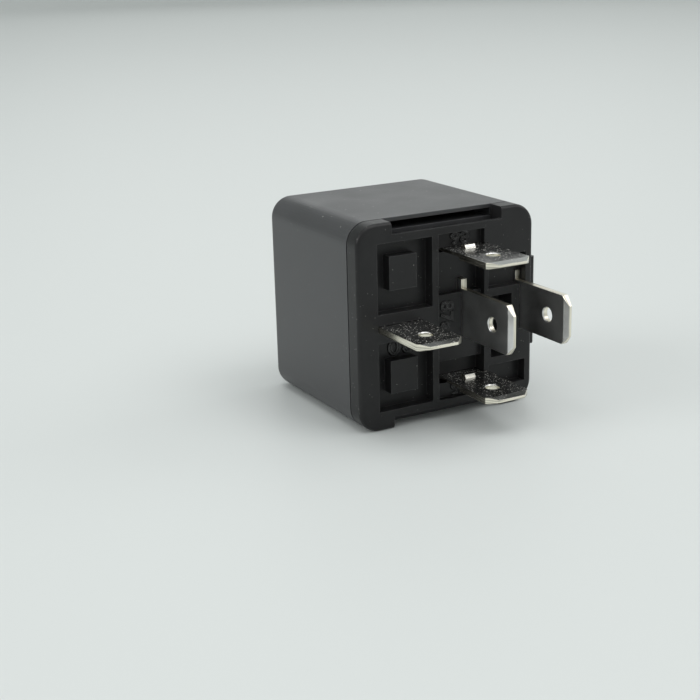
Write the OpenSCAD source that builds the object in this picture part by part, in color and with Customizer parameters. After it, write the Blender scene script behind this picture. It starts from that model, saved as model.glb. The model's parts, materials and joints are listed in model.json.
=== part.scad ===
// Five-pin changeover relay with push-on blades, lying on one side as it rests on a table.
// Millimetres. X runs across the terminal face, Y from the blades into the housing, Z up.
// The origin is at the middle of the side that the housing lies on.

/* [Housing] */
// Width across the terminal face
body_w = 26; // [26:0.5:30]
// Height over the side that it lies on
body_h = 26.5; // [26:0.5:30]
// Radius of the four long corners
corner_r = 2.8; // [2.8:0.1:3.2]
// Fillet round the closed end of the cover
end_r = 1.35; // [0.8:0.05:1.35]
// Side wall of the cover
wall = 1; // [0.9:0.05:1.1]
// End wall of the cover
end_wall = 1.2; // [0.8:0.1:2]
// Shadow gap between the cover and the flange of the base
seam = 0.25; // [0.15:0.05:0.4]
// Free height over the contacts inside the cover
head_room = 0.2; // [0.2:0.1:1.5]

/* [Bracket slots] */
// Width of the slot for a bracket tongue
slot_w = 16.2; // [12:0.1:17]
// Thickness of the slot
slot_t = 1; // [0.9:0.05:1.1]
// Depth of the slot behind the flange
slot_l = 11; // [6:0.5:14]
// Plastic on each side of the slot
slot_wall = 0.5; // [0.4:0.05:0.6]
// Lip that closes the front of the slot
slot_lip = 0.6; // [0.4:0.1:1]
// Height of the nib that catches the bracket tongue
nib_h = 0.35; // [0.2:0.05:0.5]

/* [Terminal base] */
// Thickness of the flange
flange_t = 2.4; // [2:0.1:3]
// Rounding of the flange's front edge
flange_r = 0.5; // [0.3:0.05:0.8]
// Depth of the base from the terminal face to its inner top
base_d = 6.4; // [6:0.1:8]
// Running clearance of the base inside the cover
base_fit = 0.1; // [0.05:0.05:0.2]
// Width of the rim beside the left pockets
rim_w = 2.8; // [2.4:0.1:3.2]
// Depth of the square pockets in the face
pocket_d = 1.65; // [1.2:0.05:1.8]
// Depth of the middle channel in the face
channel_d = 2; // [1.6:0.1:2.2]
// Depth of the steps that carry the numbers
step_d = 0.9; // [0.6:0.1:1.2]
// Width of the ribs between the pockets
face_rib = 0.9; // [0.6:0.1:1.2]
// Height of the bar round the left blade
bar_h = 3.7; // [3:0.1:4.5]
// Width of the raised block in each square pocket
block_w = 3.9; // [3:0.1:4.5]
// Height of the raised block in each square pocket
block_h = 4.3; // [3:0.1:4.8]
// Projection of the key pad on the right side
key_out = 0.55; // [0.3:0.05:0.8]
// Height of the key pad
key_h = 11.7; // [8:0.1:14]

/* [Blades] */
// Width of a blade
blade_w = 6.3; // [6:0.1:6.5]
// Thickness of a blade
blade_t = 0.8; // [0.7:0.05:0.9]
// Length of a blade in front of the face
blade_l = 10; // [8:0.5:12]
// Corner cut at the tip
tip_cut = 1.2; // [0.8:0.1:1.6]
// Length of the bevel at the tip
tip_bevel = 0.9; // [0.5:0.1:1.2]
// Radius of the detent hole
hole_r = 0.9; // [0.7:0.05:1]
// Distance from the tip to the middle of the detent hole
hole_inset = 4.2; // [3.8:0.1:4.6]
// Distance of the left blade's middle from the left side
left_inset = 6; // [5.8:0.1:6.2]
// Offset of the two coil blades from the middle of the face
coil_blade_x = 2.8; // [2.6:0.1:3]
// Distance between the two coil blades
coil_pitch = 17; // [16.8:0.1:17.2]
// Distance of the right blade's middle from the right side
right_inset = 1.5; // [1.4:0.1:1.7]
// Distance from the centre blade to the right blade
contact_pitch = 8.4; // [8:0.1:8.4]
// Clearance of a blade in its slot
slot_fit = 0.05; // [0.02:0.01:0.1]

/* [Magnet] */
// Thickness of the yoke
yoke_t = 1.6; // [1.4:0.1:1.8]
// Step from the edge of the bobbin's flange in to the side of the yoke
yoke_step = 0.4; // [0.2:0.1:0.8]
// Room between the yoke and the cover's left wall
yoke_room = 2.5; // [2.3:0.1:2.6]
// Radius of the iron core as a share of the bobbin's
core_share = 0.390625; // [0.34:0.000625:0.42]
// Radius of the pole head as a share of the bobbin's
pole_share = 0.59375; // [0.5:0.00125:0.65]
// Thickness of the pole head
pole_t = 1; // [0.8:0.1:1.2]
// Height of the bobbin
bobbin_h = 8.9; // [8:0.1:10]
// Thickness of the bobbin's flanges
bobbin_t = 0.7; // [0.5:0.1:0.9]
// Diameter of the winding's outer turns
turn_d = 0.5; // [0.3:0.1:0.7]
// Thickness of the armature
arm_t = 1.4; // [1.2:0.1:1.6]
// Closed air gap under the armature
air = 0.05; // [0.03:0.01:0.08]

/* [Contacts] */
// Travel of the moving contact
travel = 1; // [0.8:0.1:1.2]
// Radius of the contact heads
contact_r = 1.4; // [1.2:0.1:1.5]
// Thickness of the contact heads
contact_h = 0.5; // [0.4:0.05:0.6]
// Thickness of the contact spring
leaf_t = 0.25; // [0.2:0.05:0.3]
// Diameter of the flexible lead
lead_d = 1.2; // [1:0.1:1.4]
// Outer diameter of the return spring
coil_spring_d = 1.7; // [1.5:0.1:1.8]
// Wire of the return spring
coil_spring_wire = 0.35; // [0.3:0.05:0.4]

/* [Hidden] */
eps = 0.01;
mid_z = body_h / 2;

// Terminal base
cover_y = flange_t + seam;
slot_floor_z = body_h - slot_wall - slot_t;
plug_top_z = slot_floor_z - slot_wall - base_fit;
plug_w = body_w - 2 * (wall + base_fit);
plug_h = 2 * plug_top_z - body_h;
plug_r = corner_r - wall - base_fit;
left_x0 = -body_w / 2 + rim_w;
shelf_left = 1.05;
shelf_right = 0.45;
mid_x0 = coil_blade_x - blade_w / 2 - shelf_left;
left_x1 = mid_x0 - face_rib;
mid_x1 = coil_blade_x + blade_w / 2 - shelf_right;
left_x = body_w / 2 - left_inset;
right_x = body_w / 2 - right_inset;
centre_x = right_x - contact_pitch;
right_x0 = mid_x1 + face_rib * 0.7;
right_x1 = right_x + blade_t / 2;
edge_rib = slot_wall + slot_t + face_rib;
plateau_z = [mid_z - 5.95, mid_z + 2.8];
key_z = mid_z + 0.25;
key_x0 = body_w / 2 - rim_w / 3;
key_y = 0.2;
key_cut = 0.3;
key_l = 6;
nib_w = 3;
nib_y = cover_y + 6;
barb_z = 6;
barb_w = 3;
barb_out = 0.3;
barb_y = base_d - 1.7;
block_x = left_x0 + 1.75;
block_z = [mid_z + bar_h / 2 + 2.85, edge_rib + 2.2];
right_pocket_d = pocket_d - 0.25;
window_z = [plateau_z[0] - 0.5, plateau_z[1] - 1];
window_x = [right_x0 + 0.4, right_x - blade_t / 2 - 1.35];
shoulder_h = 1.2;
skin_t = 0.9;
neck_l = 3;
lance_x = 0.3;
lance_w = 1.5;
lance_l = 1.4;
lance_h = 0.45;

// Magnet, from the base up
yoke_x = -body_w / 2 + wall + yoke_room;
riser_x = right_x - blade_t / 2 - 0.9;
contact_x = riser_x - 1.9;
contact_room = contact_r + 1.7;
yoke_gap = 0.3;
bobbin_r = (contact_x - contact_room - yoke_x - yoke_t - yoke_gap) / 2;
coil_x = yoke_x + yoke_t + yoke_gap + bobbin_r;
core_r = core_share * bobbin_r;
pole_r = pole_share * bobbin_r;
yoke_w = 2 * (bobbin_r - yoke_step);
coil_y = base_d + yoke_t;
pole_y = coil_y + bobbin_h + pole_t;
tenon_r = core_r - 0.7;
core_fit = 0.02;
tube_r = core_r + 0.65;
wound_r = bobbin_r - 0.5;
ear_w = 1;
ear_gap = 0.15;
foot = [2.4, 1.8, 1.2];
arm_y = pole_y + air;
arm_end_x = coil_x + pole_r + 0.9;
hinge = [yoke_x, pole_y + air / 2, 0];

// Contacts
open_angle = asin(travel / (contact_x - yoke_x));
leaf_y = arm_y + arm_t;
shank_r = contact_r / 2;
rivet_x = yoke_x + 3.3;
rivet_z = 2.6;
rivet_r = 0.6;
tail_h = 0.3;
no_flag_y = leaf_y - 2 * contact_h - air - blade_t;
nc_face_y = leaf_y + leaf_t + contact_h + travel + contact_r * sin(open_angle) + air;
nc_flag_y = nc_face_y + contact_h;
flag_w = 4.8;
flag_x0 = contact_x - contact_r - 0.3;
bend_r = 0.4;
body_d = nc_flag_y + blade_t + tail_h + head_room + end_wall;
cover_d = body_d - cover_y;

// Inner ends of the terminals
strip_y = base_d - 1.8;
riser_z = [mid_z + blade_w / 2 + 0.45, mid_z + blade_w / 2 + 4.45];
tab_x1 = yoke_x - 0.3;
tab_x0 = tab_x1 - 1.6;
tab_y = base_d - 2;
tab_top = base_d + 6.2;
post_w = 1.8;
post_x = coil_blade_x + blade_w / 2 - post_w;
post_top = coil_y + 3.2;
lug_h = 1.6;
lug_wall = 0.8;

// Return spring and flexible lead
spring_x = yoke_x - coil_spring_d / 2 - 0.2;
spring_z = mid_z - 3.1;
spring_y = [coil_y + 2.6, arm_y - 1.2];
hook_y = spring_y[0] - 0.5;
hook_w = 1.8;
coils = 9;
lead_z = mid_z + blade_t / 2 + lead_d / 2;
lead_x = tab_x0 + lead_d / 2 - 0.1;
lead_gap = 0.28;
wire_d = 0.3;

// ---- Helpers ----

// Everything is drawn from the terminal face, then set with the housing's middle at Y = 0.
module in_frame() { translate([0, -body_d / 2, 0]) children(); }

// The moving parts are drawn closed and turned to their open rest position.
module at_rest() {
    translate(hinge) rotate([0, 0, open_angle]) translate(-hinge) children();
}

// Stands a shape drawn along Z on the Y axis, its width on X and its height on Z.
module along_y() { rotate([-90, 0, 0]) children(); }

// Extrudes a profile drawn in the YZ plane along X, about x = 0.
module along_x(length) { rotate([90, 0, 90]) linear_extrude(length, center = true) children(); }

// Extrudes a plan drawn in the XZ plane along Y from y = 0.
module plate(t) { translate([0, t, 0]) rotate([90, 0, 0]) linear_extrude(t) children(); }

// A box between two corners.
module span(a, b) { translate(a) cube(b - a); }

// Draws a form on the upper side of the housing and again on the lower side.
module both_sides() {
    children();
    translate([0, 0, body_h]) mirror([0, 0, 1]) children();
}

module round_rect(w, h, r) {
    square([w - 2 * r, h], center = true);
    square([w, h - 2 * r], center = true);
    for (x = [-1, 1], y = [-1, 1]) translate([x * (w / 2 - r), y * (h / 2 - r)]) circle(r, $fn = 48);
}

// A side view from x0 to x1 and d deep, its far corner at x1 rounded by f.
module rounded_side(x0, x1, d, f) {
    translate([x0, 0]) square([x1 - x0, d - f]);
    translate([x0, 0]) square([x1 - f - x0, d]);
    translate([x1 - f, d - f]) intersection() {
        circle(f, $fn = 48);
        square(f);
    }
}

// A block from Z = 0 to d with round long corners r and a fillet f round its far end.
module filleted_block(w, h, d, r, f) {
    for (m = [0, 1]) mirror([m, 0, 0]) {
        rotate([90, 0, 0]) linear_extrude(h - 2 * r, center = true) rounded_side(0, w / 2, d, f);
        for (n = [0, 1]) mirror([0, n, 0]) translate([w / 2 - r, h / 2 - r, 0])
            rotate_extrude($fn = 48) rounded_side(0, r, d, f);
    }
    for (n = [0, 1]) mirror([0, n, 0]) rotate([90, 0, 90])
        linear_extrude(w - 2 * r, center = true) rounded_side(0, h / 2, d, f);
}

// The same form as one blended hull, for the cover's larger fillet.
module domed_block(w, h, d, r, f) {
    hull() {
        linear_extrude(d - f) round_rect(w, h, r);
        for (x = [-1, 1], y = [-1, 1]) translate([x * (w / 2 - r), y * (h / 2 - r), d - f])
            rotate_extrude($fn = 48) translate([r - f, 0]) circle(f, $fn = 48);
    }
}

// A quarter turn of bent strip, inner radius bend_r, starting at the angle given.
module elbow(from) {
    rotate(from) intersection() {
        difference() {
            circle(bend_r + blade_t, $fn = 48);
            circle(bend_r, $fn = 48);
        }
        square(bend_r + blade_t);
    }
}

// A solid pin on the Y axis.
module pin(r, h) { along_y() cylinder(h, r = r, $fn = 48); }

function unit(v) = v / norm(v);
function heading(p, i) =
    unit((i > 0 ? unit(p[i] - p[i - 1]) : [0, 0, 0])
        + (i < len(p) - 1 ? unit(p[i + 1] - p[i]) : [0, 0, 0]));
function carried(p, n, i = 0) =
    let (t = heading(p, i), m = unit(n - (n * t) * t))
    i == len(p) - 1 ? [m] : concat([m], carried(p, m, i + 1));

// A round wire of diameter d swept along the points p; side is any direction across its start.
module swept(p, d, side, n = 8) {
    across = carried(p, side);
    rings = [for (i = [0 : len(p) - 1], k = [0 : n - 1])
        let (t = heading(p, i), u = across[i], v = cross(t, u), a = 360 * (k + 0.5) / n)
        p[i] + d / 2 * (cos(a) * u + sin(a) * v)];
    last = (len(p) - 1) * n;
    faces = concat(
        [[for (k = [0 : n - 1]) k]],
        [[for (k = [0 : n - 1]) last + n - 1 - k]],
        [for (i = [0 : len(p) - 2], k = [0 : n - 1])
            let (a = i * n + k, b = i * n + (k + 1) % n) [a, a + n, b + n]],
        [for (i = [0 : len(p) - 2], k = [0 : n - 1])
            let (a = i * n + k, b = i * n + (k + 1) % n) [a, b + n, b]]);
    polyhedron(rings, faces, convexity = 10);
}

// ---- Housing ----

// Wedges on the plug of the base, and with grow the sockets for them in the cover.
module snap_barbs(grow) {
    root = plug_w / 2 - 0.2;
    crest = plug_w / 2 + barb_out + grow;
    for (s = [-1, 1], z = [barb_z, body_h - barb_z]) translate([0, 0, z])
        linear_extrude(barb_w + 2 * grow, center = true) polygon([
            [s * root, barb_y - 0.7 - grow], [s * crest, barb_y - 0.5 - grow],
            [s * crest, barb_y], [s * root, barb_y + 1 + grow]
        ]);
}

module cover() color([0.27, 0.27, 0.28]) in_frame() {
    difference() {
        union() {
            difference() {
                translate([0, cover_y, mid_z]) along_y()
                    domed_block(body_w, body_h, cover_d, corner_r, end_r);
                translate([0, cover_y - 1, mid_z]) along_y() linear_extrude(cover_d - end_wall + 1)
                    round_rect(body_w - 2 * wall, body_h - 2 * wall, corner_r - wall);
            }
            both_sides() span([-slot_w / 2 - slot_wall, cover_y, slot_floor_z - slot_wall],
                [slot_w / 2 + slot_wall, cover_y + slot_l + slot_wall, body_h - wall / 2]);
        }
        both_sides() span([-slot_w / 2, cover_y - 1, slot_floor_z],
            [slot_w / 2, cover_y + slot_l, slot_floor_z + slot_t]);
        snap_barbs(base_fit);
    }
    both_sides() along_x(nib_w) polygon([
        [nib_y - 2, slot_floor_z - eps], [nib_y, slot_floor_z + nib_h],
        [nib_y + 0.6, slot_floor_z + nib_h], [nib_y + 0.8, slot_floor_z - eps]
    ]);
    translate([0, 0, key_z]) linear_extrude(key_h, center = true) polygon([
        [body_w / 2 - wall / 2, cover_y], [body_w / 2 + key_out, cover_y],
        [body_w / 2 + key_out, cover_y + key_l], [body_w / 2 - wall / 2, cover_y + key_l + 3]
    ]);
}

// ---- Terminal base ----

// A pocket in the terminal face.
module pocket(x, z, d) { span([x[0], -1, z[0]], [x[1], d, z[1]]); }

module face_pockets() {
    difference() {
        both_sides() pocket([left_x0, left_x1], [mid_z + bar_h / 2, body_h - edge_rib - 0.1], pocket_d);
        for (z = block_z) span([block_x, 0.1, z], [block_x + block_w, pocket_d + 1, z + block_h]);
    }
    both_sides() pocket([mid_x0, mid_x1], [mid_z + coil_pitch / 2, body_h - edge_rib], step_d);
    pocket([mid_x0, mid_x1], [mid_z - coil_pitch / 2 - blade_t / 2, plateau_z[0]], channel_d);
    pocket([mid_x0, mid_x1], plateau_z, step_d);
    pocket([mid_x0, mid_x1], [plateau_z[1], mid_z + coil_pitch / 2 + blade_t / 2], channel_d);
    pocket([right_x0, right_x1], [plateau_z[1], mid_z + 7], right_pocket_d);
    pocket([right_x0, right_x1], [edge_rib + 0.4, plateau_z[0] - 1.5], right_pocket_d);
    pocket(window_x, window_z, channel_d + 1);
}

module blade_slots() {
    half = blade_w / 2 + slot_fit;
    thin = blade_t / 2 + slot_fit;
    span([-left_x - half, -1, mid_z - thin], [-left_x + half, base_d + 1, mid_z + thin]);
    span([tab_x0 - slot_fit, tab_y - slot_fit, mid_z - thin], [-left_x, base_d + 1, mid_z + thin]);
    for (s = [-1, 1]) translate([coil_blade_x, 0, mid_z + s * coil_pitch / 2])
        span([-half, -1, -thin], [half, base_d + 1, thin]);
    for (x = [centre_x, right_x]) {
        translate([x, 0, mid_z]) span([-thin, -1, -half], [thin, base_d + 1, half]);
        translate([x, 0, mid_z]) span([-thin, step_d, 0], [thin, base_d + 1, half + shoulder_h]);
        translate([x, 0, mid_z])
            span([-thin, step_d + skin_t, -half - shoulder_h], [thin, base_d + 1, 0]);
    }
}

// Hollows on the inner side, and the seats of the yoke's feet and of the centre terminal's strip.
module inner_hollows() {
    both_sides() span([left_x0, 3.6, mid_z + bar_h / 2 + 0.4], [left_x1, base_d + 1, plug_top_z - 1.6]);
    both_sides() translate([coil_x, base_d, mid_z + yoke_w / 2])
        span([-slot_fit, -foot[1] - slot_fit, -foot[2] - slot_fit], [foot[0] + slot_fit, 1, slot_fit]);
    span([centre_x - blade_t / 2 - slot_fit, strip_y - slot_fit, mid_z - blade_w / 2 - slot_fit],
        [riser_x + slot_fit, base_d + 1, riser_z[1] + slot_fit]);
    span([centre_x - blade_t / 2 - slot_fit, strip_y - bend_r - slot_fit, mid_z - blade_w / 2 - slot_fit],
        [centre_x + blade_t / 2 + bend_r, strip_y, mid_z + blade_w / 2 + slot_fit]);
}

module terminal_base() color([0.16, 0.16, 0.17]) in_frame() difference() {
    union() {
        translate([0, flange_t, mid_z]) mirror([0, 1, 0]) along_y()
            filleted_block(body_w, body_h, flange_t, corner_r, flange_r);
        translate([0, flange_t - eps, mid_z]) along_y()
            linear_extrude(base_d - flange_t + eps) round_rect(plug_w, plug_h, plug_r);
        translate([0, 0, key_z]) linear_extrude(key_h, center = true) polygon([
            [key_x0, key_y], [body_w / 2 + key_out - key_cut, key_y],
            [body_w / 2 + key_out, key_y + key_cut], [body_w / 2 + key_out, flange_t], [key_x0, flange_t]
        ]);
        snap_barbs(0);
    }
    both_sides() {
        span([-slot_w / 2, -1, slot_floor_z], [slot_w / 2, cover_y, body_h + 1]);
        span([-slot_w / 2, slot_lip, plug_top_z], [slot_w / 2, cover_y, body_h + 1]);
    }
    face_pockets();
    blade_slots();
    inner_hollows();
}

// ---- Terminals ----

// Plan of a blade from its root at y = root to its cut tip.
module blade_plan(root) {
    polygon([
        [-blade_w / 2, root], [-blade_w / 2, -blade_l + tip_cut], [-blade_w / 2 + tip_cut, -blade_l],
        [blade_w / 2 - tip_cut, -blade_l], [blade_w / 2, -blade_l + tip_cut], [blade_w / 2, root]
    ]);
}

// A flat blade in the XY plane about z = 0, bevelled at its tip, with the detent hole.
module blade(root) {
    bevel = blade_t * 0.28;
    sink = 0.12;
    difference() {
        intersection() {
            linear_extrude(blade_t, center = true) blade_plan(root);
            along_x(blade_w + 1) polygon([
                [root, -blade_t / 2], [-blade_l + tip_bevel, -blade_t / 2],
                [-blade_l, -blade_t / 2 + bevel],
                [-blade_l, blade_t / 2 - bevel], [-blade_l + tip_bevel, blade_t / 2], [root, blade_t / 2]
            ]);
        }
        translate([0, -blade_l + hole_inset, 0]) {
            cylinder(blade_t + 1, r = hole_r, center = true, $fn = 48);
            for (m = [0, 1]) mirror([0, 0, m]) translate([0, 0, blade_t / 2 - sink])
                cylinder(sink + eps, r1 = hole_r, r2 = hole_r + sink + eps, $fn = 48);
        }
    }
}

// A coil terminal: thin strip with a post inside, folded double over the outer part of the blade.
// A lance near the face keeps it from being pushed in.
module coil_terminal(side) {
    translate([coil_blade_x, 0, mid_z + side * coil_pitch / 2]) {
        difference() {
            blade(base_d - 0.2);
            span([-blade_w / 2 - 1, -neck_l, -blade_t], [blade_w / 2 + 1, base_d + 1, 0]);
            span([blade_w / 2 - 0.35, -blade_l - 1, -0.03], [blade_w / 2 + 1, -neck_l, 0.03]);
        }
        span([blade_w / 2 - post_w, base_d - 0.3, 0], [blade_w / 2, post_top, blade_t / 2]);
        translate([-lance_x, 0, blade_t / 2]) along_x(lance_w) polygon([
            [-lance_l, -eps], [0.3 - lance_l, lance_h], [-0.4, lance_h], [-0.15, -eps]
        ]);
    }
}

module terminal_85() color([0.78, 0.78, 0.76]) in_frame() coil_terminal(-1);
module terminal_86() color([0.78, 0.78, 0.76]) in_frame() coil_terminal(1);

module terminal_30() color([0.8, 0.8, 0.78]) in_frame() {
    translate([-left_x, 0, mid_z]) blade(base_d - 0.2);
    translate([0, 0, mid_z]) {
        span([tab_x0, tab_y, -blade_t / 2], [-left_x, base_d - 0.2, blade_t / 2]);
        span([tab_x0, tab_y, -blade_t / 2], [tab_x1, tab_top, blade_t / 2]);
    }
}

// A standing blade with a shoulder on each edge, the upper in an open slot and the lower behind a skin.
module upright_blade(x, root) {
    translate([x, 0, mid_z]) {
        rotate([0, 90, 0]) blade(root);
        span([-blade_t / 2, step_d + 0.2, 0], [blade_t / 2, base_d - 2.4, blade_w / 2 + shoulder_h]);
        span([-blade_t / 2, step_d + skin_t + slot_fit, -blade_w / 2 - shoulder_h],
            [blade_t / 2, base_d - 2.4, 0]);
    }
}

// The seat of a contact rivet in a terminal's flag.
module flag_hole(y) { translate([contact_x, y - 1, mid_z]) pin(shank_r + core_fit, blade_t + 2); }

module terminal_87() color([0.8, 0.8, 0.78]) in_frame() difference() {
    bend = [right_x - blade_t / 2 - bend_r, no_flag_y - bend_r];
    union() {
        upright_blade(right_x, base_d);
        translate([0, 0, mid_z]) linear_extrude(flag_w, center = true) {
            translate([right_x - blade_t / 2, base_d - 1]) square([blade_t, bend[1] - base_d + 1]);
            translate(bend) elbow(0);
            translate([flag_x0, no_flag_y]) square([bend[0] - flag_x0, blade_t]);
        }
    }
    flag_hole(no_flag_y);
}

module terminal_87a() color([0.8, 0.8, 0.78]) in_frame() difference() {
    foot_bend = [centre_x + blade_t / 2 + bend_r, strip_y - bend_r];
    riser_bend = [riser_x - blade_t - bend_r, strip_y + blade_t + bend_r];
    flag_bend = [riser_bend[0], nc_flag_y - bend_r];
    union() {
        upright_blade(centre_x, foot_bend[1]);
        translate([0, 0, mid_z]) linear_extrude(blade_w, center = true) {
            translate(foot_bend) elbow(90);
            translate([foot_bend[0], strip_y]) square([riser_bend[0] - foot_bend[0], blade_t]);
        }
        span([riser_bend[0] - 3.4, strip_y, mid_z], [riser_bend[0], strip_y + blade_t, riser_z[1]]);
        translate([0, 0, riser_z[0]]) linear_extrude(riser_z[1] - riser_z[0]) {
            translate(riser_bend) elbow(-90);
            translate([riser_x - blade_t, riser_bend[1]]) square([blade_t, flag_bend[1] - riser_bend[1]]);
            translate(flag_bend) elbow(0);
        }
        span([flag_x0, nc_flag_y, mid_z - flag_w / 2], [flag_bend[0], nc_flag_y + blade_t, riser_z[1]]);
    }
    flag_hole(nc_flag_y);
}

// ---- Magnet ----

module yoke() color([0.62, 0.6, 0.55]) in_frame() {
    bend = yoke_t + 0.3;
    difference() {
        translate([0, 0, mid_z]) linear_extrude(yoke_w, center = true) {
            translate([yoke_x, base_d + bend]) square([yoke_t, pole_y - base_d - bend]);
            translate([yoke_x + bend, base_d]) square([coil_x + core_r + 1.4 - yoke_x - bend, yoke_t]);
            translate([yoke_x + bend, base_d + bend]) rotate(180) difference() {
                intersection() {
                    circle(bend, $fn = 48);
                    square(bend);
                }
                circle(bend - yoke_t, $fn = 32);
            }
        }
        translate([coil_x, base_d - 1, mid_z]) pin(tenon_r + core_fit, yoke_t + 2);
    }
    both_sides() {
        span([yoke_x, pole_y - eps, mid_z + yoke_w / 2 - ear_w],
            [yoke_x + yoke_t, pole_y + 1.2, mid_z + yoke_w / 2]);
        translate([coil_x, base_d, mid_z + yoke_w / 2]) span([0, -foot[1], -foot[2]], [foot[0], eps, 0]);
    }
    difference() {
        span([yoke_x - 1.7, hook_y - 0.6, spring_z - hook_w / 2],
            [yoke_x + eps, hook_y, spring_z + hook_w / 2]);
        span([yoke_x - 2, hook_y - 1, spring_z - 0.3], [spring_x + 0.3, hook_y + 1, spring_z + 0.3]);
    }
}

module core() color([0.66, 0.66, 0.64]) in_frame() translate([coil_x, 0, mid_z]) {
    translate([0, base_d, 0]) pin(tenon_r, yoke_t + 0.1);
    translate([0, coil_y, 0]) pin(core_r, pole_y - coil_y);
    translate([0, pole_y - pole_t, 0]) pin(pole_r, pole_t);
}

// An arm of the bobbin's lower flange, with a leg at its end that stands on the base round a coil post.
module bobbin_lug(side) {
    z = mid_z + side * coil_pitch / 2;
    x = [post_x - lug_wall, post_x + post_w + lug_wall];
    arm_z = mid_z + side * 2;
    block_z = z - side * 1.5;
    difference() {
        union() {
            span([x[0], coil_y, min(arm_z, z + side)], [x[1], coil_y + bobbin_t, max(arm_z, z + side)]);
            span([x[0], coil_y, min(block_z, z + side)], [x[1], coil_y + lug_h, max(block_z, z + side)]);
            span([x[0], base_d, z - 0.7], [x[1], coil_y + lug_h, z + 1]);
        }
        span([post_x - slot_fit, base_d - 1, z - slot_fit],
            [post_x + post_w + slot_fit, post_top + 1, z + blade_t / 2 + slot_fit]);
    }
}

module bobbin() color([0.82, 0.8, 0.74]) in_frame() difference() {
    union() {
        translate([coil_x, coil_y, mid_z]) {
            pin(tube_r, bobbin_h);
            pin(bobbin_r, bobbin_t);
            translate([0, bobbin_h - bobbin_t, 0]) pin(bobbin_r, bobbin_t);
        }
        for (side = [-1, 1]) bobbin_lug(side);
    }
    translate([coil_x, coil_y - 1, mid_z]) pin(core_r + core_fit, bobbin_h + 2);
}

module coil_winding() color([0.72, 0.36, 0.16]) in_frame() translate([coil_x, coil_y + bobbin_t, mid_z]) {
    room = bobbin_h - 2 * bobbin_t;
    turns = floor(room / turn_d);
    along_y() rotate_extrude($fn = 64) {
        translate([tube_r, 0]) square([wound_r - turn_d / 2 - tube_r, room]);
        for (i = [0 : turns - 1])
            translate([wound_r - turn_d / 2, (i + 0.5) * room / turns]) intersection() {
                circle(room / turns / 2, $fn = 24);
                translate([-eps, -1]) square([1, 2]);
            }
    }
}

// A coil end from the winding to its post, turned once round it.
module coil_end(side) {
    z = mid_z + side * coil_pitch / 2 + blade_t / 4;
    off = blade_t / 4 + wire_d / 2;
    y = coil_y + lug_h + wire_d / 2 + 0.2;
    out = (wound_r + wire_d / 2) * [cos(52), sin(52)];
    swept([
        [coil_x + out[0] - 0.6, y, mid_z + side * (out[1] + 0.5)],
        [coil_x + out[0], y, mid_z + side * out[1] + side * 0.15],
        [post_x - 0.35, y, z - side * (off + 0.9)],
        [post_x - 0.3, y + 0.1, z + side * off],
        [post_x + post_w + 0.3, y + 0.25, z + side * off],
        [post_x + post_w + 0.3, y + 0.4, z - side * off],
        [post_x - 0.1, y + 0.55, z - side * off]
    ], wire_d, [0, 1, 0]);
}

module coil_wire_85() color([0.75, 0.4, 0.2]) in_frame() coil_end(-1);
module coil_wire_86() color([0.75, 0.4, 0.2]) in_frame() coil_end(1);

// ---- Moving parts ----

module armature() color([0.68, 0.68, 0.66]) in_frame() at_rest() difference() {
    translate([0, arm_y, 0]) plate(arm_t) {
        throat = yoke_w / 2 - ear_w - ear_gap;
        translate([yoke_x - 1.7, mid_z - yoke_w / 2]) square([1.7 - ear_gap, yoke_w]);
        translate([yoke_x - 1, mid_z - throat]) square([arm_end_x - yoke_x + 1 - 1.2, 2 * throat]);
        translate([yoke_x + yoke_t + ear_gap, mid_z - yoke_w / 2 + 0.4])
            square([arm_end_x - yoke_x - yoke_t - ear_gap - 1.2, yoke_w - 0.8]);
        translate([arm_end_x - 1.4, mid_z - yoke_w / 2 + 1.6]) square([1.4, yoke_w - 3.2]);
    }
    span([yoke_x - 2, arm_y - 1, lead_z - 1.1], [yoke_x - 0.3, arm_y + arm_t + 1, lead_z + 1.1]);
    span([yoke_x - 2, arm_y - 1, spring_z - 0.4], [spring_x + 0.4, arm_y + arm_t + 1, spring_z + 0.4]);
    for (s = [-1, 1]) translate([rivet_x, arm_y - 1, mid_z + s * rivet_z])
        pin(rivet_r + core_fit, arm_t + 2);
}

module contact_spring() color([0.76, 0.58, 0.3]) in_frame() at_rest() difference() {
    translate([0, leaf_y, 0]) plate(leaf_t) {
        end_r2 = contact_r + 0.5;
        polygon([
            [yoke_x + 1.1, mid_z - 4.4], [coil_x + 2, mid_z - 4.4], [contact_x - 2.4, mid_z - end_r2],
            [contact_x, mid_z - end_r2], [contact_x, mid_z + end_r2], [contact_x - 2.4, mid_z + end_r2],
            [coil_x + 2, mid_z + 4.4], [yoke_x + 1.1, mid_z + 4.4]
        ]);
        translate([contact_x, mid_z]) circle(end_r2, $fn = 48);
    }
    for (s = [-1, 1]) translate([rivet_x, leaf_y - 1, mid_z + s * rivet_z])
        pin(rivet_r + core_fit, leaf_t + 2);
    translate([contact_x, leaf_y - 1, mid_z]) pin(shank_r + core_fit, leaf_t + 2);
}

module spring_rivets() color([0.7, 0.7, 0.68]) in_frame() at_rest()
    for (s = [-1, 1]) translate([rivet_x, arm_y, mid_z + s * rivet_z]) {
        translate([0, -tail_h, 0]) pin(rivet_r + 0.5, tail_h);
        translate([0, -eps, 0]) pin(rivet_r, arm_t + leaf_t + 2 * eps);
        translate([0, arm_t + leaf_t, 0]) pin(rivet_r + 0.5, tail_h + 0.1);
    }

module moving_contact() color([0.86, 0.86, 0.84]) in_frame() at_rest()
    translate([contact_x, leaf_y, mid_z]) {
    translate([0, -contact_h, 0]) pin(contact_r, contact_h);
    translate([0, -eps, 0]) pin(shank_r, leaf_t + 2 * eps);
    translate([0, leaf_t, 0]) pin(contact_r, contact_h);
}

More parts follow.
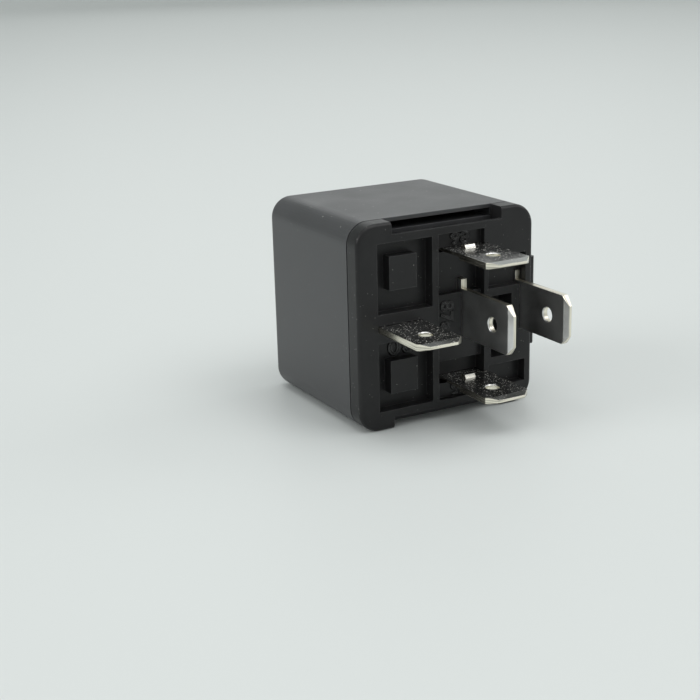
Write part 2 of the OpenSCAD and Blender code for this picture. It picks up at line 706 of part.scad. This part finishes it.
// A fixed contact whose shank is upset behind the flag, its head towards +Y.
module fixed_contact() {
    pin(contact_r, contact_h);
    translate([0, -blade_t - eps, 0]) pin(shank_r, blade_t + 2 * eps);
    translate([0, -blade_t - tail_h, 0]) pin(shank_r + 0.4, tail_h);
}

module fixed_contact_no() color([0.86, 0.86, 0.84]) in_frame()
    translate([contact_x, no_flag_y + blade_t, mid_z]) fixed_contact();

module fixed_contact_nc() color([0.86, 0.86, 0.84]) in_frame()
    translate([contact_x, nc_flag_y, mid_z]) mirror([0, 1, 0]) fixed_contact();

// A tension spring between the yoke's hook and the tail of the armature, a cross bar at each end.
module return_spring() color([0.74, 0.74, 0.74]) in_frame() {
    r = (coil_spring_d - coil_spring_wire) / 2;
    low = hook_y - 0.6 - coil_spring_wire / 2;
    high = leaf_y + coil_spring_wire / 2 + 0.08;
    rise = spring_y[1] - spring_y[0];
    steps = 12 * coils;
    swept(concat(
        [[spring_x, low, spring_z - 0.7], [spring_x, low, spring_z - 0.05], [spring_x, low + 0.3, spring_z],
         [spring_x, spring_y[0] - 0.4, spring_z]],
        [for (i = [0 : steps])
            [spring_x + r * cos(30 * i), spring_y[0] + rise * i / steps, spring_z + r * sin(30 * i)]],
        [[spring_x, spring_y[1] + 0.4, spring_z], [spring_x, high - 0.3, spring_z],
         [spring_x, high, spring_z + 0.05], [spring_x, high, spring_z + 0.7]]
    ), coil_spring_wire, [1, 0, 0], 6);
}

module flexible_lead() color([0.8, 0.47, 0.26]) in_frame() {
    over_y = leaf_y + leaf_t + lead_d / 2 + lead_gap;
    swept([
        [lead_x, tab_top - 2.4, lead_z], [lead_x, tab_top + 1.2, lead_z], [lead_x, arm_y - 0.6, lead_z],
        [lead_x, over_y - 1.3, lead_z], [lead_x + 0.25, over_y - 0.5, lead_z],
        [lead_x + 0.9, over_y, lead_z],
        [yoke_x + 1, over_y, mid_z + 0.45], [yoke_x + 3.6, over_y, mid_z]
    ], lead_d, [1, 0, 0]);
}

cover();
terminal_base();
terminal_30();
terminal_85();
terminal_86();
terminal_87();
terminal_87a();
yoke();
core();
bobbin();
coil_winding();
coil_wire_85();
coil_wire_86();
armature();
contact_spring();
spring_rivets();
moving_contact();
fixed_contact_no();
fixed_contact_nc();
return_spring();
flexible_lead();
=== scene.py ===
# %% [markdown]
# # A square changeover relay
# A plug-in relay is a black plastic cover over a terminal base, with five flat push-on blades. This
# lesson dresses the finished solids with materials, adds the small moulded numbers and lights them.
# The solids are loaded as a fixed frame, so every length here is in metres and in the same axes.

# %% Load the solids
import json
import math

import bpy
from mathutils import Matrix, Vector


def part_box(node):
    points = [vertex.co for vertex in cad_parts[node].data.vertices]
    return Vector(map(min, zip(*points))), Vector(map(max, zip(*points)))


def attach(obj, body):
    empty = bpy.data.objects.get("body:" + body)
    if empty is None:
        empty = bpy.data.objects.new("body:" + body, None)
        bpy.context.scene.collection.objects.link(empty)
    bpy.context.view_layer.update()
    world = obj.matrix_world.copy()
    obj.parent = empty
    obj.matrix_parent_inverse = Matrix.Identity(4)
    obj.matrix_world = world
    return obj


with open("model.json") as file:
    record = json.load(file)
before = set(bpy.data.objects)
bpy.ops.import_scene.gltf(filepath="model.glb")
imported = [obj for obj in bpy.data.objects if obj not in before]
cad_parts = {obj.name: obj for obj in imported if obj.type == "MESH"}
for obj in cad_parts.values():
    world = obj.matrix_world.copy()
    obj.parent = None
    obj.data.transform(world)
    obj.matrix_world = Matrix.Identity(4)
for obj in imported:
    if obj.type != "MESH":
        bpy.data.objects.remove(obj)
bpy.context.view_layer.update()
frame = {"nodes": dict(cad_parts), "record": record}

NODES = frame["nodes"]

# %% [markdown]
# ## Camera
# The relay is seen from the left, a little above, and close enough for clear perspective. The
# camera is placed by an azimuth, an elevation and a small roll, so that its axes can be read off
# directly and no target object is needed.

# %% Camera
AZIMUTH, ELEVATION, ROLL = (math.radians(a) for a in (-28.608, 17.122, -1.515))
CAMERA_AT = Vector((-0.090815, -0.152477, 0.060674))
LENS_MM = 70.55
FILM_MM = 36
back = Vector((math.sin(AZIMUTH) * math.cos(ELEVATION), -math.cos(AZIMUTH) * math.cos(ELEVATION),
               math.sin(ELEVATION)))
right = Vector((0, 0, 1)).cross(back).normalized()
up = back.cross(right)
camera_right = math.cos(ROLL) * right + math.sin(ROLL) * up
camera_up = -math.sin(ROLL) * right + math.cos(ROLL) * up
camera_data = bpy.data.cameras.new("camera")
camera_data.lens = LENS_MM
camera_data.sensor_width = FILM_MM
camera_data.clip_start = 0.005
camera_data.clip_end = 20
camera = bpy.data.objects.new("camera", camera_data)
camera.matrix_world = (Matrix.Translation(CAMERA_AT)
                       @ Matrix((camera_right, camera_up, back)).transposed().to_4x4())
bpy.context.scene.collection.objects.link(camera)
bpy.context.scene.camera = camera
print("camera at", [round(v, 4) for v in camera.location], "lens", camera_data.lens)

# %% [markdown]
# ## A way to write shader groups
# Several finishes share the same effects, such as worn edges or dust. Each effect is a node group
# with named inputs and outputs, so one recipe serves every material with its own values. Two short
# helpers keep the wiring readable: one adds a node, one opens a group.

# %% Node helpers
def add(tree, kind, inputs=None, **settings):
    """Adds a node, sets its properties, and links or sets its inputs."""
    node = tree.nodes.new(kind)
    for key, value in settings.items():
        setattr(node, key, value)
    for key, value in (inputs or {}).items():
        if isinstance(value, bpy.types.NodeSocket):
            tree.links.new(value, node.inputs[key])
        else:
            node.inputs[key].default_value = value
    return node


def math_node(tree, operation, a, b=0.0, clamp=False):
    node = add(tree, "ShaderNodeMath", {0: a, 1: b}, operation=operation, use_clamp=clamp)
    return node.outputs[0]


def ramp(tree, value, low, high):
    """Maps low..high of a value to 0..1."""
    return add(tree, "ShaderNodeMapRange", {0: value, 1: low, 2: high, 3: 0.0, 4: 1.0},
               clamp=True).outputs[0]


def open_group(name, inputs, outputs):
    """A new group with float inputs {name: default} and outputs {name: socket type}."""
    tree = bpy.data.node_groups.new(name, "ShaderNodeTree")
    for key, default in inputs.items():
        socket = tree.interface.new_socket(key, in_out="INPUT", socket_type="NodeSocketFloat")
        socket.default_value = default
    for key, kind in outputs.items():
        tree.interface.new_socket(key, in_out="OUTPUT", socket_type="NodeSocket" + kind)
    entry = tree.nodes.new("NodeGroupInput").outputs
    leave = tree.nodes.new("NodeGroupOutput").inputs
    return tree, entry, leave


print("helpers ready")

# %% [markdown]
# ## Worn edges and painted glints
# Handled plastic and plated metal go pale and polished along their edges. On the terminal base the
# pale edge is also a painted highlight, standing in for glints of light along its rims. The Bevel
# node bends the normal near an edge, so the angle between it and the true normal marks the edge.
# Noise breaks the mark up, because wear is never even.

# %% Edge wear and painted glint group
edge_wear_glint_tree, edge_wear_glint_in, edge_wear_glint_out = open_group(
    "worn_edges_and_painted_glints", {"Radius": 0.0002, "Gain": 3.0, "Breakup Scale": 900.0}, {"Mask": "Float"})
bent = add(edge_wear_glint_tree, "ShaderNodeBevel", {"Radius": edge_wear_glint_in["Radius"]}, samples=4)
true = add(edge_wear_glint_tree, "ShaderNodeNewGeometry")
along = add(edge_wear_glint_tree, "ShaderNodeVectorMath", {0: bent.outputs[0], 1: true.outputs["Normal"]},
            operation="DOT_PRODUCT")
turned = math_node(edge_wear_glint_tree, "SUBTRACT", 1.0, along.outputs["Value"])
place = add(edge_wear_glint_tree, "ShaderNodeTexCoord")
patchy = add(edge_wear_glint_tree, "ShaderNodeTexNoise",
             {"Vector": place.outputs["Object"], "Scale": edge_wear_glint_in["Breakup Scale"], "Detail": 4.0})
gained = math_node(edge_wear_glint_tree, "MULTIPLY", turned, edge_wear_glint_in["Gain"])
broken_up = math_node(edge_wear_glint_tree, "MULTIPLY", gained, ramp(edge_wear_glint_tree, patchy.outputs[0], 0.3, 0.7),
                      clamp=True)
edge_wear_glint_tree.links.new(broken_up, edge_wear_glint_out["Mask"])
print("group", edge_wear_glint_tree.name, len(edge_wear_glint_tree.nodes), "nodes")

# %% [markdown]
# ## Moulded grain
# A moulding tool leaves a fine spark texture and slow changes of tone across a face. Two noises at
# different sizes give a height for the bump and a tone for the colour.

# %% Grain group
grain_tree, grain_in, grain_out = open_group(
    "moulded_grain", {"Fine Scale": 9000.0, "Slow Scale": 160.0},
    {"Height": "Float", "Tone": "Float"})
place = add(grain_tree, "ShaderNodeTexCoord")
fine = add(grain_tree, "ShaderNodeTexNoise",
           {"Vector": place.outputs["Object"], "Scale": grain_in["Fine Scale"], "Detail": 3.0})
slow = add(grain_tree, "ShaderNodeTexNoise",
           {"Vector": place.outputs["Object"], "Scale": grain_in["Slow Scale"], "Detail": 5.0})
grain_tree.links.new(fine.outputs[0], grain_out["Height"])
grain_tree.links.new(ramp(grain_tree, slow.outputs[0], 0.3, 0.7), grain_out["Tone"])
print("group", grain_tree.name, len(grain_tree.nodes), "nodes")

# %% [markdown]
# ## Dust
# Dust shows as pale specks, most of them on faces that look up. A Voronoi pattern gives one dot to
# each cell, its random colour keeps only a share of the dots, and the height of the normal thins
# them on walls.

# %% Dust group
dust_tree, dust_in, dust_out = open_group(
    "dust_specks", {"Scale": 1500.0, "Size": 0.2, "Share": 0.12, "On Walls": 0.4},
    {"Mask": "Float"})
place = add(dust_tree, "ShaderNodeTexCoord")
cells = add(dust_tree, "ShaderNodeTexVoronoi",
            {"Vector": place.outputs["Object"], "Scale": dust_in["Scale"]})
pick = add(dust_tree, "ShaderNodeSeparateColor", {0: cells.outputs["Color"]})
kept = math_node(dust_tree, "LESS_THAN", pick.outputs[0], dust_in["Share"])
dot = math_node(dust_tree, "LESS_THAN", cells.outputs["Distance"],
                math_node(dust_tree, "MULTIPLY", dust_in["Size"], pick.outputs[1]))
facing = add(dust_tree, "ShaderNodeSeparateXYZ",
             {0: add(dust_tree, "ShaderNodeNewGeometry").outputs["Normal"]})
settled = math_node(dust_tree, "ADD", ramp(dust_tree, facing.outputs[2], 0.3, 0.9),
                    dust_in["On Walls"], clamp=True)
kept_dots = math_node(dust_tree, "MULTIPLY", kept, dot)
dust_tree.links.new(math_node(dust_tree, "MULTIPLY", kept_dots, settled), dust_out["Mask"])
print("group", dust_tree.name, len(dust_tree.nodes), "nodes")

# %% [markdown]
# ## Rolling and drawing marks
# Strip metal keeps faint lines from rolling, and wire from drawing. Noise stretched along one axis
# gives such lines, and a second noise gives the cloudy look of thin plating. A punch also leaves
# fine lines along a cut edge, so a third noise varies only through the thickness of the strip.

# %% Streak group
PULL = 0.06
CUT_LINE_SCALE = 5200.0
CUT_LINE_RANGE = (0.36, 0.52)
ALONG_BLADE = 0.02
streak_tree, streak_in, streak_out = open_group(
    "rolled_streaks", {"Scale": 2500.0, "Cloud Scale": 500.0, "Through X": 0.0, "Through Z": 0.0},
    {"Height": "Float", "Cloud": "Float", "Cut Lines": "Float"})
place = add(streak_tree, "ShaderNodeTexCoord")
pulled = add(streak_tree, "ShaderNodeMapping",
             {"Vector": place.outputs["Object"], "Scale": (1, PULL, 1)})
lines = add(streak_tree, "ShaderNodeTexNoise",
            {"Vector": pulled.outputs[0], "Scale": streak_in["Scale"], "Detail": 3.0})
cloud = add(streak_tree, "ShaderNodeTexNoise",
            {"Vector": place.outputs["Object"], "Scale": streak_in["Cloud Scale"], "Detail": 6.0})
through = add(streak_tree, "ShaderNodeVectorMath",
              {0: place.outputs["Object"],
               1: add(streak_tree, "ShaderNodeCombineXYZ",
                      {"X": streak_in["Through X"], "Y": ALONG_BLADE,
                       "Z": streak_in["Through Z"]}).outputs[0]},
              operation="MULTIPLY")
cuts = add(streak_tree, "ShaderNodeTexNoise",
           {"Vector": through.outputs[0], "Scale": CUT_LINE_SCALE, "Detail": 2.0})
streak_tree.links.new(ramp(streak_tree, cuts.outputs[0], *CUT_LINE_RANGE), streak_out["Cut Lines"])
streak_tree.links.new(lines.outputs[0], streak_out["Height"])
streak_tree.links.new(ramp(streak_tree, cloud.outputs[0], 0.35, 0.65), streak_out["Cloud"])
print("group", streak_tree.name, len(streak_tree.nodes), "nodes")

# %% [markdown]
# ## Mixing colours and placing groups
# A material is mostly colours laid over each other and groups set to their own values. Two helpers
# say that in one line each, so the finishes below read like recipes.

# %% Mixing helpers
def blend(tree, factor, a, b):
    """Mixes two colours; each may be a socket or an RGB triple."""
    def colour(value):
        return value if isinstance(value, bpy.types.NodeSocket) else (*value, 1)
    node = add(tree, "ShaderNodeMix", {"Factor": factor, 6: colour(a), 7: colour(b)},
               data_type="RGBA")
    return node.outputs[2]


def use(tree, group_tree, **values):
    """Places a group and sets its inputs; an underscore in a name stands for a space."""
    node = add(tree, "ShaderNodeGroup", node_tree=group_tree)
    for key, value in values.items():
        node.inputs[key.replace("_", " ")].default_value = value
    return node.outputs


print("mixing helpers ready")

# %% [markdown]
# ## Making a finish
# Every finish here mixes a dark and a light tone by a slow pattern, adds pale edges and dust over
# them, and roughens the surface with a bump. The pale edges are wear, and on the terminal base
# partly a painted highlight. Only the values change, so one function takes them.
# Dust on metal also dulls it, so there it lowers the metallic value. A metal without dust keeps a
# plain value, since a number that is the same all over belongs on the shader's own socket.

# %% Finish helper
DUST_COLOUR = (0.55, 0.54, 0.51)
DUST_ROUGH = 0.8
DUST_DULLS = 0.45
CUT_METAL = (0.88, 0.84, 0.72)
CUT_SHADE = 0.4


def finish(name, dark, light, rough, metal, wear_and_glint, dust, pattern, relief, soften=0.00008, sheen=0.5):
    """A material; wear_and_glint is (colour, gain) of the pale edges, worn and on the base partly a
    painted highlight, and dust is (share, size, scale, on walls).
    """
    mat = bpy.data.materials.new(name)
    mat.use_nodes = True
    tree = mat.node_tree
    shader = tree.nodes["Principled BSDF"]
    shader.inputs["Metallic"].default_value = metal
    shader.inputs["Specular IOR Level"].default_value = sheen
    tone = pattern(tree)
    edge_wear_and_glint = use(tree, edge_wear_glint_tree, Gain=wear_and_glint[1])["Mask"]
    specks = use(tree, dust_tree, Share=dust[0], Size=dust[1], Scale=dust[2],
                 On_Walls=dust[3])["Mask"]
    base = blend(tree, tone[1], dark, light)
    worn_and_glinting = blend(tree, edge_wear_and_glint, base, wear_and_glint[0])
    if len(tone) > 2:
        punched = blend(tree, tone[2], [CUT_SHADE * c for c in CUT_METAL], CUT_METAL)
        worn_and_glinting = blend(tree, tone[3], punched, worn_and_glinting)
    tree.links.new(blend(tree, specks, worn_and_glinting, DUST_COLOUR), shader.inputs["Base Color"])
    if metal and dust[0]:
        tarnished = math_node(tree, "MULTIPLY", specks, DUST_DULLS)
        tree.links.new(math_node(tree, "SUBTRACT", metal, tarnished), shader.inputs["Metallic"])
    uneven = add(tree, "ShaderNodeMapRange", {0: tone[1], 3: rough[0], 4: rough[1]}).outputs[0]
    chalky = math_node(tree, "MULTIPLY", specks, DUST_ROUGH)
    tree.links.new(math_node(tree, "MAXIMUM", uneven, chalky), shader.inputs["Roughness"])
    eased = add(tree, "ShaderNodeBevel", {"Radius": soften}, samples=4).outputs[0]
    tree.links.new(add(tree, "ShaderNodeBump", {"Strength": relief[0], "Distance": relief[1],
                                                "Height": tone[0], "Normal": eased}).outputs[0],
                   shader.inputs["Normal"])
    print("finish", name)
    return mat


print("finish helper ready")

# %% [markdown]
# ## The three patterns
# A finish asks for a pattern: moulded grain for plastic, streaks for strip and wire, and streaks
# with cut lines for punched blades. Each returns a height and a tone. The punched strip also
# returns its cut lines, and a mask that marks the flat sides, so the lines show on cut edges only.

# %% Patterns
def grain(fine_scale, slow_scale):
    def pattern(tree):
        out = use(tree, grain_tree, Fine_Scale=fine_scale, Slow_Scale=slow_scale)
        return out["Height"], out["Tone"]
    return pattern


def streaks(scale, cloud_scale):
    def pattern(tree):
        out = use(tree, streak_tree, Scale=scale, Cloud_Scale=cloud_scale)
        return out["Height"], out["Cloud"]
    return pattern


def punched_strip(scale, cloud_scale, through_x, through_z):
    """Streaks with dark lines on the cut edges; the strip is thin along x or along z."""
    def pattern(tree):
        out = use(tree, streak_tree, Scale=scale, Cloud_Scale=cloud_scale,
                  Through_X=through_x, Through_Z=through_z)
        cut_face = add(tree, "ShaderNodeSeparateXYZ",
                       {0: add(tree, "ShaderNodeNewGeometry").outputs["Normal"]})
        facing = cut_face.outputs[0] if through_x > through_z else cut_face.outputs[2]
        flat = ramp(tree, math_node(tree, "ABSOLUTE", facing), 0.5, 0.6)
        return out["Height"], out["Cloud"], out["Cut Lines"], flat
    return pattern


print("patterns ready")

# %% [markdown]
# ## The plastics
# The cover is satin glass-filled nylon with a fine texture. The base comes from another tool and
# looks blacker and a little smoother. The bobbin inside is unpigmented natural nylon.

# %% Plastics
cover_plastic = finish("satin_black_cover", (0.046, 0.047, 0.049), (0.060, 0.061, 0.064),
                       (0.33, 0.42), 0, ((0.14, 0.14, 0.145), 2.0), (0.10, 0.2, 2600, 0.35),
                       grain(9000, 160), (0.25, 0.00003))
# The base's pale edges are partly a painted highlight: their lighter colour and high gain stand in
# for glints of light along its rims.
base_plastic = finish("black_terminal_base", (0.0145, 0.0145, 0.015), (0.0205, 0.0205, 0.021),
                      (0.28, 0.38), 0, ((0.10, 0.10, 0.102), 2.8), (0.12, 0.2, 3000, 0.4),
                      grain(7000, 260), (0.3, 0.00003), sheen=0.26)
# The numbers are moulded in the base's own plastic; their blacker colour is painted shade, so that
# they stand out from the floor under them.
number_plastic_painted_darker = finish("moulded_numbers_painted_darker", (0.004, 0.004, 0.004), (0.007, 0.007, 0.007),
                        (0.16, 0.22), 0, ((0.16, 0.16, 0.162), 2.5), (0.10, 0.2, 3000, 0.4),
                        grain(7000, 260), (0.2, 0.00002))
bobbin_plastic = finish("natural_bobbin", (0.52, 0.48, 0.38), (0.62, 0.58, 0.47), (0.4, 0.5), 0,
                        ((0.7, 0.67, 0.58), 0.6), (0.02, 0.2, 1500, 0.4), grain(6000, 300),
                        (0.2, 0.00003))

# %% [markdown]
# ## The metals
# The blades are brass strip plated with tin, bright where it was cut. The one plating gets two
# finishes, a shaded and a lit copy: the three blades that lie flat are speckled and darker, which
# is painted shade, and the two that stand upright are plainer and lighter, which is painted light,
# with their cut lines turned. Inside are zinc-plated iron, enamelled copper, bronze strip, silver
# contacts and wire.

# %% Metals
# Painted shade: the flat blades are the same tin as the upright ones, in darker colours.
flat_blade_painted_darker = finish("tin_plated_flat_blades_painted_darker", (0.54, 0.54, 0.53), (0.64, 0.64, 0.63), (0.21, 0.27),
                    1, ((0.95, 0.93, 0.86), 1.6), (0.50, 0.42, 4800, 0.0),
                    punched_strip(2600, 300, 0.02, 1.0), (0.08, 0.00001), 0.00006)
# Painted light: the upright blades are the same tin as the flat ones, in lighter colours.
upright_blade_painted_lighter = finish("tin_plated_upright_blades_painted_lighter", (0.72, 0.72, 0.71), (0.84, 0.84, 0.83),
                       (0.28, 0.34), 1, ((0.95, 0.93, 0.86), 1.6), (0.10, 0.3, 4200, 0.3),
                       punched_strip(2600, 300, 1.0, 0.02), (0.08, 0.00001), 0.00006)
soft_iron = finish("zinc_plated_iron", (0.45, 0.44, 0.41), (0.60, 0.59, 0.56), (0.28, 0.42), 1,
                   ((0.8, 0.79, 0.76), 1.2), (0.02, 0.2, 1500, 0.4), streaks(1800, 420),
                   (0.15, 0.00003))
copper_wire = finish("enamelled_copper", (0.36, 0.10, 0.035), (0.50, 0.17, 0.06), (0.18, 0.28), 1,
                     ((0.7, 0.3, 0.12), 0.5), (0.0, 0.1, 1500, 0.4), streaks(5000, 700),
                     (0.1, 0.00002))
spring_bronze = finish("bronze_strip", (0.52, 0.33, 0.14), (0.66, 0.45, 0.22), (0.2, 0.32), 1,
                       ((0.85, 0.65, 0.38), 1.0), (0.01, 0.2, 1500, 0.4), streaks(3000, 400),
                       (0.12, 0.00002))
silver_contact = finish("silver_contacts", (0.74, 0.73, 0.70), (0.88, 0.87, 0.85), (0.16, 0.28), 1,
                        ((0.95, 0.94, 0.92), 0.8), (0.0, 0.1, 1500, 0.4), streaks(3000, 1500),
                        (0.08, 0.00002))
spring_steel = finish("drawn_steel_wire", (0.40, 0.40, 0.40), (0.56, 0.56, 0.56), (0.2, 0.3), 1,
                      ((0.75, 0.75, 0.75), 0.8), (0.0, 0.1, 1500, 0.4), streaks(6000, 900),
                      (0.1, 0.00002))
copper_braid = finish("braided_copper", (0.42, 0.16, 0.07), (0.66, 0.30, 0.14), (0.3, 0.45), 1,
                      ((0.8, 0.45, 0.25), 0.6), (0.0, 0.1, 1500, 0.4), streaks(7000, 4500),
                      (0.6, 0.00006))

# %% [markdown]
# ## Giving each solid its finish
# The record says which material slot each solid belongs to. Going through it means that no solid
# can be forgotten, and only the material slots are touched, never the meshes. Two of the blades
# stand upright, so their cut lines run the other way, and they take the copy of the tin painted
# lighter as painted light; the others take the copy painted darker as painted shade.

# %% Assign
FINISHES = {"cover_plastic": cover_plastic, "base_plastic": base_plastic,
            "tinned_brass": flat_blade_painted_darker, "soft_iron": soft_iron,
            "bobbin_plastic": bobbin_plastic, "copper_wire": copper_wire,
            "spring_bronze": spring_bronze, "silver_contact": silver_contact,
            "spring_steel": spring_steel, "copper_braid": copper_braid}
UPRIGHT = ("terminal_87", "terminal_87a")
for part in frame["record"]["subparts"]:
    slots = NODES[part["node"]].data.materials
    slots.clear()
    slots.append(upright_blade_painted_lighter if part["node"] in UPRIGHT else FINISHES[part["material_slot"]])

# %% [markdown]
# ## The outline of a number
# Four of the terminals have their plain number moulded beside them as a thin raised outline. A text
# curve with no fill and a round bevel gives that outline. It is turned into a mesh, whose points
# can then be moved one by one.

# %% Text outline
OUTLINE_WIDTH = 0.055


def text_outline(name, text):
    """A mesh of the outline of some text, in the text's own units."""
    curve = bpy.data.curves.new(name, "FONT")
    curve.body = text
    curve.fill_mode = "NONE"
    curve.bevel_depth = OUTLINE_WIDTH
    curve.bevel_resolution = 1
    curve.resolution_u = 4
    source = bpy.data.objects.new(name + "_curve", curve)
    bpy.context.scene.collection.objects.link(source)
    bpy.context.view_layer.update()
    graph = bpy.context.evaluated_depsgraph_get()
    mesh = bpy.data.meshes.new_from_object(source.evaluated_get(graph))
    bpy.data.objects.remove(source)
    for polygon in mesh.polygons:
        polygon.use_smooth = True
    return mesh


print("text outline ready")

# %% [markdown]
# ## Laying the numbers on their floors
# A number is stretched into its box on the terminal face, at the depth of the floor that it stands
# on. As the relay lies, three of the numbers stand on their heads and one reads downwards, so each
# is given the direction in which it reads and the direction of its top.

# %% Numbers
FACE_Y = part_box("terminal_base")[0].y
STROKE = 0.0002
STEP_FLOOR, POCKET_FLOOR = 0.0009, 0.00165


def number(name, text, low, high, depth, reading, top):
    """Fits an outline of text into low..high (x, z) at a depth; reading and top are directions."""
    mesh = text_outline(name, text)
    corners = [v.co.copy() for v in mesh.vertices]
    start = Vector([min(c[i] for c in corners) for i in range(3)])
    size = Vector([max(c[i] for c in corners) for i in range(3)]) - start
    reading, top = Vector(reading), Vector(top)
    room = Vector((high[0] - low[0], 0, high[1] - low[1]))
    across, tall = abs(room.dot(reading)), abs(room.dot(top))
    middle = Vector(((low[0] + high[0]) / 2, FACE_Y + depth, (low[1] + high[1]) / 2))
    for vertex, c in zip(mesh.vertices, corners):
        u = ((c.x - start.x) / size.x - 0.5) * across
        v = ((c.y - start.y) / size.y - 0.5) * tall
        out = ((c.z - start.z) / size.z - 0.5) * 2 * STROKE
        vertex.co = middle + u * reading + v * top + Vector((0, -1, 0)) * out
    mesh.materials.clear()
    mesh.materials.append(number_plastic_painted_darker)
    piece = bpy.data.objects.new(name, mesh)
    bpy.context.scene.collection.objects.link(piece)
    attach(piece, "housing")
    print("number", text, "faces", len(mesh.polygons))


LEFTWARD, DOWN, RIGHTWARD = (-1, 0, 0), (0, 0, -1), (1, 0, 0)
number("number_86", "86", (0.0008, 0.02225), (0.0038, 0.02405), STEP_FLOOR, LEFTWARD, DOWN)
number("number_85", "85", (0.0008, 0.00245), (0.0038, 0.00425), STEP_FLOOR, LEFTWARD, DOWN)
number("number_30", "30", (-0.0081, 0.0090), (-0.0042, 0.0113), POCKET_FLOOR, LEFTWARD, DOWN)
number("number_87a", "87a", (-0.00075, 0.0112), (0.0014, 0.0153), STEP_FLOOR, DOWN, RIGHTWARD)

# %% [markdown]
# ## Floor and backdrop
# One pale sheet runs flat under the relay and curves up behind it, so no horizon line shows. Its
# side view is a short list of points, and the bend is worked out with a sine and a cosine.

# %% Sweep
BEND, REACH, FRONT, WALL_TOP, HALF = 0.5, 1.0, -1.5, 3.0, 3.0
BEND_STEPS = 15


def sweep_profile():
    """Points (y, z) of the sheet from front to back, with a wide quarter bend."""
    points = [(FRONT, 0.0), (REACH, 0.0)]
    points += [(REACH + BEND * math.sin(a), BEND - BEND * math.cos(a))
               for a in (math.radians(90 / BEND_STEPS * i) for i in range(1, BEND_STEPS + 1))]
    return points + [(REACH + BEND, WALL_TOP)]


profile = sweep_profile()
sheet = bpy.data.meshes.new("backdrop")
sheet.from_pydata([(x, y, z) for y, z in profile for x in (-HALF, HALF)], [],
                  [(2 * i, 2 * i + 1, 2 * i + 3, 2 * i + 2) for i in range(len(profile) - 1)])
for polygon in sheet.polygons:
    polygon.use_smooth = True
backdrop = bpy.data.objects.new("backdrop", sheet)
bpy.context.scene.collection.objects.link(backdrop)
print("backdrop", len(sheet.polygons), "faces")

# %% [markdown]
# ## The table's finish
# The sheet is plain and pale, and a little glossy, which gives the faint reflection of a smooth
# table. The background is pale because of this colour, and no extra light is spent on it.

# %% Table finish
TABLE_COLOUR = (0.70, 0.73, 0.72, 1)
pale = bpy.data.materials.new("pale_table")
pale.use_nodes = True
pale_shader = pale.node_tree.nodes["Principled BSDF"]
pale_shader.inputs["Base Color"].default_value = TABLE_COLOUR
pale_shader.inputs["Roughness"].default_value = 0.5
pale_shader.inputs["Specular IOR Level"].default_value = 0.3
sheet.materials.append(pale)
print("material", pale.name)

# %% [markdown]
# ## Light
# Five large soft lamps stand round the relay. The one overhead and the one at the left make the top
# the lightest face and the left side the next, and the terminal face stays darkest. Weaker ones at
# the front, the right and behind keep that face and the edges readable.

# %% Lamps
RELAY_MIDDLE = Vector((0, 0, 0.013))


def softbox(name, at, size, power):
    """A square lamp that faces the relay and is hidden from the camera."""
    data = bpy.data.lights.new(name, "AREA")
    data.shape = "SQUARE"
    data.size = size
    data.energy = power
    lamp = bpy.data.objects.new(name, data)
    lamp.location = at
    lamp.rotation_euler = (RELAY_MIDDLE - Vector(at)).to_track_quat("-Z", "Y").to_euler()
    lamp.visible_camera = False
    bpy.context.scene.collection.objects.link(lamp)


softbox("overhead", (0, 0, 0.8), 0.7, 2.0)
softbox("front_right", (0.3, -0.4, 0.7), 0.5, 1.5)
softbox("left", (-0.8, 0.15, 0.45), 0.5, 2.0)
softbox("behind", (0.42, 0.78, 0.38), 0.5, 0.4)
softbox("right", (0.8, -0.1, 0.5), 0.5, 1.1)

# %% [markdown]
# ## World
# A soft light from all round fills the shadows. The view transform is the plain one, so a colour
# renders about as it is written.

# %% World
WORLD_COLOUR = (0.97, 1.0, 0.99, 1)
WORLD_STRENGTH = 0.51
world = bpy.data.worlds.new("studio")
bpy.context.scene.world = world
world.use_nodes = True
world.node_tree.nodes["Background"].inputs["Color"].default_value = WORLD_COLOUR
world.node_tree.nodes["Background"].inputs["Strength"].default_value = WORLD_STRENGTH
bpy.context.scene.view_settings.view_transform = "Standard"
print("world strength", WORLD_STRENGTH)

# %% [markdown]
# ## Sizes
# The dressed relay must stay inside the box of its solids.

# %% Write the sizes
print("no sizes written")
